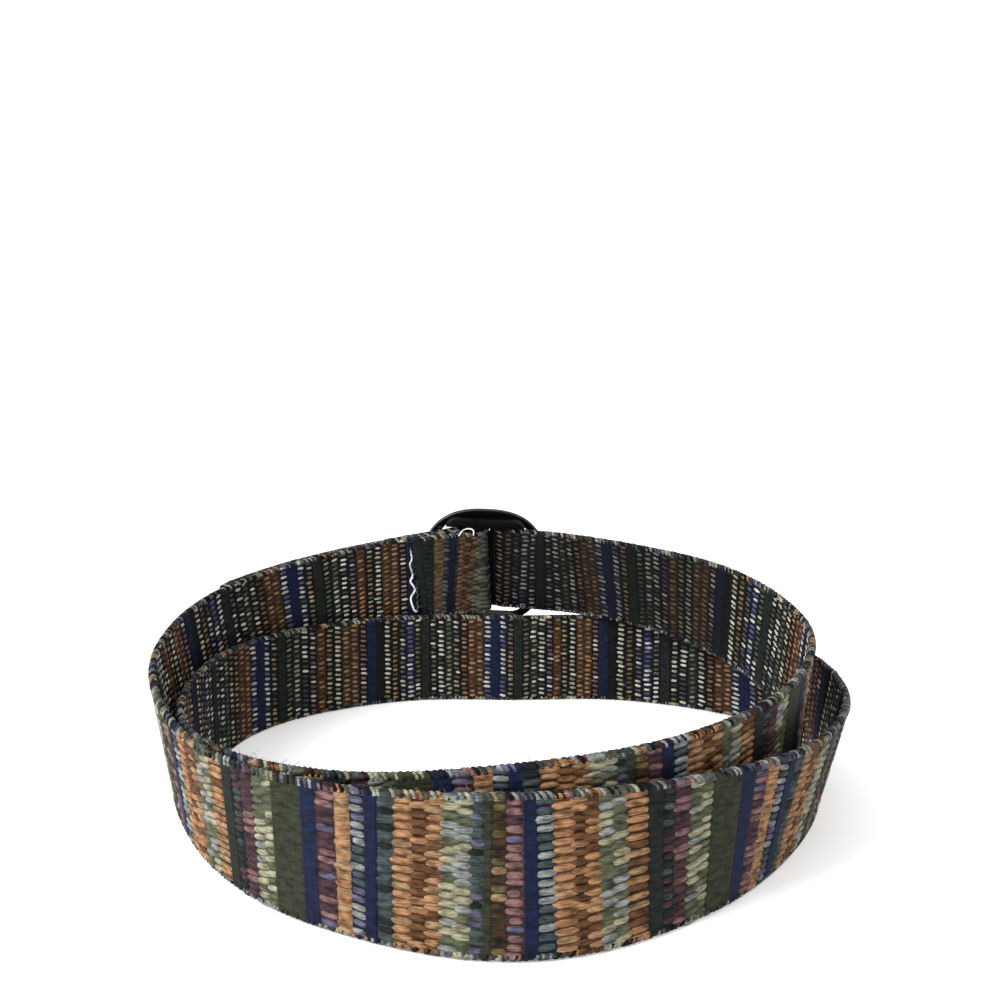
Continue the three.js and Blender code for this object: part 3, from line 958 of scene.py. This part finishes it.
# %% Zigzag stitches and loose threads
edge_point = np.array(place_at(turn_after(BUCKLE_TURN, SEWN_FOLD_LENGTH)).middle)
under_edge = (route_lengths > 1.6 * SEWN_FOLD_LENGTH) & (route_lengths < 8 * SEWN_FOLD_LENGTH)
from_edge = np.where(under_edge, np.linalg.norm(route_points - edge_point, axis=1), np.inf)
ZIGZAG_PLACE = route_lengths[np.argmin(from_edge)] + 1.2
STITCH_DEPTH = 1.25
THREAD_STEPS = 5
THREAD_SIDES = 8
THREAD_RADIUS = 0.46
FINE_THREAD_RADIUS = 0.16
LOOP_THREAD_RADIUS = 0.26
SMALL_LOOP_RADIUS = 0.2

Stitch = namedtuple("Stitch", "aside across lift")
ZIGZAG = [
    Stitch(1.3, 14.0, 0.4),
    Stitch(0.9, 9.2, 0.5),
    Stitch(1.9, 7.0, 0.4),
    Stitch(0.8, 2.0, 0.5),
    Stitch(1.9, -0.7, 0.4),
    Stitch(0.0, -4.7, 0.5),
    Stitch(2.0, -8.4, 0.4),
    Stitch(0.9, -13.6, 0.5),
    Stitch(-0.4, -15.3, 0.4),
]
SECOND_LINE = [Stitch(-0.9 + 0.3 * (-1) ** k, -1 - 1.3 * k, 0.5) for k in range(12)]
FOLD_LOOP = [
    Stitch(16.6, 18.2, 0.3),
    Stitch(17.8, 20.4, 0.3),
    Stitch(19.8, 21.4, 0.4),
    Stitch(21.8, 20.6, 0.3),
    Stitch(22.2, 18.4, 0.6),
]
SMALL_LOOP = [Stitch(33.5, 18.6, 0.5), Stitch(34.4, 20.2, 0.7), Stitch(35.6, 18.8, 0.6)]


def smooth_line(points, steps):
    """A smooth line through points, by cubic curves that share their slopes."""
    points = np.array(points, float)
    slopes = np.gradient(points, axis=0)
    at = np.linspace(0, len(points) - 1, (len(points) - 1) * steps + 1)
    k = np.minimum(at.astype(int), len(points) - 2)
    t = (at - k)[:, None]
    ease = 3 * t**2 - 2 * t**3
    return (
        points[k] * (1 - ease)
        + points[k + 1] * ease
        + slopes[k] * (t**3 - 2 * t**2 + t)
        + slopes[k + 1] * (t**3 - t**2)
    )


def make_thread(name, stitches, start, face_depth, radius, material):
    """A sewing thread along stitches that are places beside a start, across the band and off its face."""
    side = math.copysign(1, face_depth)
    rows = [(start + s.aside, s.across, face_depth + side * s.lift) for s in stitches]
    along, across, depth = smooth_line(rows, THREAD_STEPS).T
    points, faces, _ = tube(on_band(along, across, depth)[None], radius, THREAD_SIDES)
    piece = new_piece(name, points, faces, materials=[material])
    return piece


zigzag = make_thread("zigzag_stitches", ZIGZAG, ZIGZAG_PLACE, -STITCH_DEPTH, THREAD_RADIUS, white_thread)
second = make_thread(
    "second_stitches", SECOND_LINE, ZIGZAG_PLACE, -STITCH_DEPTH, FINE_THREAD_RADIUS, grey_thread
)
fold_loop = make_thread("fold_loop", FOLD_LOOP, 0, STITCH_DEPTH, LOOP_THREAD_RADIUS, white_thread)
small_loop = make_thread("small_loop", SMALL_LOOP, 0, STITCH_DEPTH, SMALL_LOOP_RADIUS, white_thread)
print("Zigzag", round(ZIGZAG_PLACE, 1), "mm along the band")

# %% [markdown]
# A cut edge frays: its weft slips out and leaves a brush of ends, drawn dark here as painted shade, the
# same as at the cut end. Every woven edge has fluff, single filaments that have sprung out of the loops.
# Both are many short curls, made as one mesh each. Fluff that would reach the floor is cut to almost nothing.

# %% Frayed end and fluff
FRAY_COUNT = 260
FRAY_RADIUS = 0.1
# Dark yarns for the frayed ends: painted shade of the cut end.
FRAY_YARNS = ("black", "pine", "navy", "slate")
FLUFF_COUNT = 1100
FLUFF_RADIUS = 0.05
FLUFF_YARNS = ("pale", "cream", "slate", "moss")
FLUFF_START = WEB_WIDTH / 2 - 0.2
CURL_STEPS = 5
CURL_SIDES = 3
CURL_BEND = 0.5
FLOOR_ROOM = 2.5
SHORTEST = 0.1


def make_curls(name, starts, aims, lengths, radius, numbers, rng):
    """Short curls from starting points towards their aims, each bending off to a side of its own."""
    share = np.linspace(0, 1, CURL_STEPS)[None, :, None]
    bend = rng.normal(0, CURL_BEND, (len(starts), 1, 3))
    lines = starts[:, None] + lengths[:, None, None] * (aims[:, None] * share + bend * share**2)
    points, faces, faces_each = tube(lines, radius, CURL_SIDES)
    measures = np.repeat(lines[:, :, :2].reshape(-1, 2), CURL_SIDES, axis=0)
    piece = new_piece(name, points, faces, measures, np.repeat(numbers, faces_each), all_yarns)
    print(name, len(starts), "curls,", triangles_in(piece), "triangles")
    return piece


def make_fray():
    rng = np.random.default_rng(31)
    across = rng.uniform(-0.96, 0.96, FRAY_COUNT) * WEB_WIDTH / 2
    starts = on_band(np.full(FRAY_COUNT, 0.2), across, rng.uniform(-0.6, 0.9, FRAY_COUNT))
    aims = np.tile(-route_ahead[0], (FRAY_COUNT, 1)) + rng.normal(0, 0.25, (FRAY_COUNT, 3))
    numbers = rng.choice([YARN_NAMES.index(name) for name in FRAY_YARNS], FRAY_COUNT)
    lengths = rng.uniform(0.5, 1.8, FRAY_COUNT)
    return make_curls("frayed_end", starts, aims, lengths, FRAY_RADIUS, numbers, rng)


def make_fluff():
    rng = np.random.default_rng(32)
    along = rng.uniform(2, WEB_LENGTH - 2, FLUFF_COUNT)
    edge = rng.choice([-1, 1], FLUFF_COUNT, p=[0.25, 0.75])
    starts = on_band(along, edge * FLUFF_START, rng.uniform(-0.8, 0.8, FLUFF_COUNT))
    aims = edge[:, None] * blended(along, route_ups) * 0.5 + rng.normal(0, 0.6, (FLUFF_COUNT, 3))
    numbers = rng.choice([YARN_NAMES.index(name) for name in FLUFF_YARNS], FLUFF_COUNT)
    lengths = rng.uniform(0.4, 1.2, FLUFF_COUNT)
    lengths = np.where(starts[:, 2] + CENTRING[2] < FLOOR_ROOM, SHORTEST, lengths)
    return make_curls("edge_fluff", starts, aims, lengths, FLUFF_RADIUS, numbers, rng)


fray = make_fray()
fluff = make_fluff()

# %% [markdown]
# ## Buckle
#
# The slider is a flat oval ring with a bar across its back, cast in zinc and dipped in black enamel. The
# enamel rounds every edge, so almost all of it looks black; the ring's outer edge, where the light catches
# it, gets a paler metal as a painted highlight. The ring is a loft between its outer outline and its
# opening, with rounded corners in section. Two low walls beside the webbing, longer towards it, carry the
# bar. The photo hides all but the arch, so the rest is the usual slider of this kind.

# %% Buckle sizes
SLOT_PLAY = 4.2
CROSS_RAIL = 6.1
SLOT_CORNER = 7.0
FRAME_THICKNESS = 2.4
LUG_LENGTH = 32.0
LUG_WALL = 2.9
LUG_FLARE = 0.2
FRAME_DROP = 0.9
ROUNDNESS = 2.5
FRAME_STEPS = 144
RIM_RADIUS = 0.85
CORNER_POINTS = 5
CORNER_STEP = 90 / (CORNER_POINTS - 1)
RING_SECTION = 4 * CORNER_POINTS
# Faces of the ring's outer edge, which get the painted highlight.
HIGHLIGHT_FACES = (16, 17, 18, 19, 0, 1, 2)
BAR_EASING = 1.4
LUG_EASING = 1.2
OPENING_LENGTH = (SEWN_SLOT_LENGTH + BAR_WIDTH + THREADED_SLOT_LENGTH) / 2
FRAME_MIDDLE = (SEWN_SLOT_LENGTH - THREADED_SLOT_LENGTH) / 2
OPENING_HEIGHT = (WEB_WIDTH + SLOT_PLAY) / 2


def outline_reach(angle):
    """How far the ring's outline is from the middle in a direction."""
    x = abs(math.cos(angle)) / (OPENING_LENGTH + SIDE_RAIL)
    y = abs(math.sin(angle)) / (OPENING_HEIGHT + CROSS_RAIL)
    return (x**ROUNDNESS + y**ROUNDNESS) ** (-1 / ROUNDNESS)


def opening_reach(angle):
    """How far the round-cornered opening reaches in a direction."""
    x, y = abs(math.cos(angle)), abs(math.sin(angle))
    near, far = 0.0, 40.0
    for _ in range(30):
        reach = (near + far) / 2
        out_x = reach * x - (OPENING_LENGTH - SLOT_CORNER)
        out_y = reach * y - (OPENING_HEIGHT - SLOT_CORNER)
        beyond = math.hypot(max(out_x, 0), max(out_y, 0)) + min(max(out_x, out_y), 0) > SLOT_CORNER
        near, far = (near, reach) if beyond else (reach, far)
    return near


print("Rail", round(outline_reach(0) - opening_reach(0), 1), "mm wide at the side")


# %% Buckle ring, bar and lugs
def to_buckle(points):
    """Buckle places, along the belt, across it and outwards from the bar's middle, as points in mm."""
    turned = np.array(Matrix.Rotation(FRAME_TILT, 3, "Z"))
    axes = np.array([bar.along, bar.up, bar.out]).T @ turned
    middle = np.array(bar.middle + bar.out * BAR_DEPTH - bar.up * FRAME_DROP)
    return np.asarray(points) @ axes.T + middle


def ring_faces(rings, size):
    """Faces of a tube of rings that closes on itself."""
    faces = []
    for ring in range(rings):
        following_ring = (ring + 1) % rings
        for k in range(size):
            following = (k + 1) % size
            here = ring * size
            there = following_ring * size
            faces.append((here + k, here + following, there + following, there + k))
    return faces


def frame_ring():
    corners = [(1, 1, 90), (0, 1, 180), (0, 0, 270), (1, 0, 0)]
    points = []
    for i in range(FRAME_STEPS):
        angle = 2 * math.pi * i / FRAME_STEPS
        reaches = (opening_reach(angle) + RIM_RADIUS, outline_reach(angle) - RIM_RADIUS)
        heights = (BAR_SETBACK + RIM_RADIUS, BAR_SETBACK + FRAME_THICKNESS - RIM_RADIUS)
        for outer, upper, end_turn_deg in corners:
            for step in range(CORNER_POINTS):
                bend = math.radians(end_turn_deg - 90 + CORNER_STEP * step)
                reach = reaches[outer] + RIM_RADIUS * math.cos(bend)
                height = heights[upper] + RIM_RADIUS * math.sin(bend)
                points.append((FRAME_MIDDLE + reach * math.cos(angle), reach * math.sin(angle), height))
    return points, ring_faces(FRAME_STEPS, RING_SECTION)


def rounded_prism(half_x, half_y, low, high, radius):
    """A block with rounded upright edges and eased ends, as points and faces."""
    points = []
    levels = [(low, radius * 0.5), (low + radius * 0.5, 0), (high - radius * 0.5, 0), (high, radius * 0.5)]
    for level, inset in levels:
        for quarter in range(4):
            sign_x = (1, -1, -1, 1)[quarter]
            sign_y = (1, 1, -1, -1)[quarter]
            for step in range(CORNER_POINTS):
                bend = math.radians(90 * quarter + CORNER_STEP * step)
                x = sign_x * (half_x - radius) + (radius - inset) * math.cos(bend)
                y = sign_y * (half_y - radius) + (radius - inset) * math.sin(bend)
                points.append((x, y, level))
    size = len(points) // len(levels)
    faces = [face for face in ring_faces(len(levels), size) if max(face) - min(face) < 2 * size]
    faces += [tuple(range(size))[::-1], tuple(range(size * (len(levels) - 1), size * len(levels)))]
    return points, faces


def make_buckle(materials):
    ring, faces = frame_ring()
    # The outer edge's faces take the paler metal, a painted highlight.
    on_highlight = [(i % RING_SECTION) in HIGHLIGHT_FACES for i in range(len(faces))]
    points = list(ring)
    half_bar = OPENING_HEIGHT + LUG_WALL
    shaft, shaft_faces = rounded_prism(BAR_WIDTH / 2, BAR_THICKNESS / 2, -half_bar, half_bar, BAR_EASING)
    solids = [([(x, z, -y) for x, y, z in shaft], shaft_faces)]
    top = BAR_SETBACK + FRAME_THICKNESS / 2
    for side in (-1, 1):
        lug, lug_faces = rounded_prism(LUG_LENGTH / 2, LUG_WALL / 2, -BAR_THICKNESS / 2, top, LUG_EASING)
        middle = side * (OPENING_HEIGHT + LUG_WALL / 2)
        flared = [(x * (1 - LUG_FLARE * side * y / LUG_WALL), y, z) for x, y, z in lug]
        solids.append(([(x + FRAME_MIDDLE, y + middle, z) for x, y, z in flared], lug_faces))
    for more, more_faces in solids:
        faces = faces + [tuple(k + len(points) for k in face) for face in more_faces]
        points += more
    on_highlight += [False] * (len(faces) - len(on_highlight))
    piece = new_piece("enamelled_buckle", to_buckle(points), faces, face_yarns=on_highlight, materials=materials)
    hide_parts("buckle_frame")
    print("Buckle of", triangles_in(piece), "triangles")
    return piece


# %% [markdown]
# Black enamel is a dielectric: fresh, it reflects about four parts in a hundred straight on. This one has
# lost most of its gloss, so its specular level is low. The webbing's rubbing dulls it unevenly, which a
# soft noise in the roughness shows, and dust of about half a millimetre gives it a very faint relief.


# %% Enamel material
def enamel_material():
    material, surface = new_material("black_enamel")
    place = add_node(material, "ShaderNodeTexCoord")
    rubbing = add_node(
        material, "ShaderNodeTexNoise", {"Vector": place.outputs["Object"]}, Scale=1 / (6 * MM), Detail=4.0
    )
    roughness = add_node(
        material, "ShaderNodeMapRange", {"Value": rubbing.outputs["Fac"]}, To_Min=0.4, To_Max=0.55
    )
    dust = add_node(
        material, "ShaderNodeTexNoise", {"Vector": place.outputs["Object"]}, Scale=1 / (0.5 * MM), Detail=2.0
    )
    relief = add_node(
        material, "ShaderNodeBump", {"Height": dust.outputs["Fac"]}, Strength=0.05, Distance=0.05 * MM
    )
    shader = add_node(
        material,
        "ShaderNodeBsdfPrincipled",
        {"Roughness": roughness.outputs["Result"], "Normal": relief.outputs["Normal"]},
        Base_Color=linear("#030304"),
        IOR=1.5,
        Specular_IOR_Level=0.05,
    )
    material.node_tree.links.new(shader.outputs["BSDF"], surface)
    return material


def highlight_rim_material():
    """The ring's outer edge in a paler metal, a painted highlight where it catches the light."""
    material, surface = new_material("painted_highlight_rim")
    place = add_node(material, "ShaderNodeTexCoord")
    highlight_patches = add_node(
        material, "ShaderNodeTexNoise", {"Vector": place.outputs["Object"]}, Scale=1 / (3 * MM), Detail=3.0
    )
    tones = add_node(material, "ShaderNodeValToRGB", {"Fac": highlight_patches.outputs["Fac"]})
    dark_stop, lit_stop = tones.color_ramp.elements
    dark_stop.color = linear("#17181a")
    lit_stop.color = linear("#4e5052")
    shader = add_node(
        material,
        "ShaderNodeBsdfPrincipled",
        {"Base Color": tones.outputs["Color"]},
        Metallic=1.0,
        Roughness=0.38,
    )
    material.node_tree.links.new(shader.outputs["BSDF"], surface)
    return material


buckle = make_buckle([enamel_material(), highlight_rim_material()])

# %% [markdown]
# ## Floor and light
#
# The photo is a product shot on white: light from all round, a little more from above and in front. A
# white world gives that, and one soft lamp at the upper left gives each float a lit side and a shaded one,
# which is what makes the weave readable. The paper glows a little, so that the shadows on it stay pale.


# %% Floor and light
PAPER_GLOW = 0.25
FLOOR_REACH = 4.0
LAMP_PLACE = (-0.46, -0.3, 0.4)
LAMP_AIM = (0, 0, 0.02)
LAMP_SIZE = 0.3
LAMP_WATTS = 4.5
WORLD_LIGHT = 1.06


def pale_floor():
    mesh = bpy.data.meshes.new("floor")
    corners = [(x * FLOOR_REACH, y * FLOOR_REACH, 0) for x, y in ((-1, -1), (1, -1), (1, 1), (-1, 1))]
    mesh.from_pydata(corners, [], [(0, 1, 2, 3)])
    material, surface = new_material("pale_matt_paper")
    shader = add_node(
        material,
        "ShaderNodeBsdfPrincipled",
        Base_Color=linear("#ffffff"),
        Roughness=0.9,
        Emission_Color=linear("#ffffff"),
        Emission_Strength=PAPER_GLOW,
    )
    material.node_tree.links.new(shader.outputs["BSDF"], surface)
    mesh.materials.append(material)
    floor = bpy.data.objects.new("floor", mesh)
    bpy.context.scene.collection.objects.link(floor)


def soft_lamp(name, place, aim, size, watts):
    data = bpy.data.lights.new(name, "AREA")
    data.size = size
    data.energy = watts
    lamp = bpy.data.objects.new(name, data)
    lamp.location = place
    lamp.rotation_euler = (Vector(aim) - Vector(place)).to_track_quat("-Z", "Y").to_euler()
    bpy.context.scene.collection.objects.link(lamp)


world = bpy.data.worlds.new("white_studio")
world.use_nodes = True
background = world.node_tree.nodes["Background"]
background.inputs["Color"].default_value = (1, 1, 1, 1)
background.inputs["Strength"].default_value = WORLD_LIGHT
bpy.context.scene.world = world
bpy.context.scene.view_settings.view_transform = "Standard"
pale_floor()
soft_lamp("left_front", LAMP_PLACE, LAMP_AIM, LAMP_SIZE, LAMP_WATTS)
print("Floor, a white world and one soft lamp")
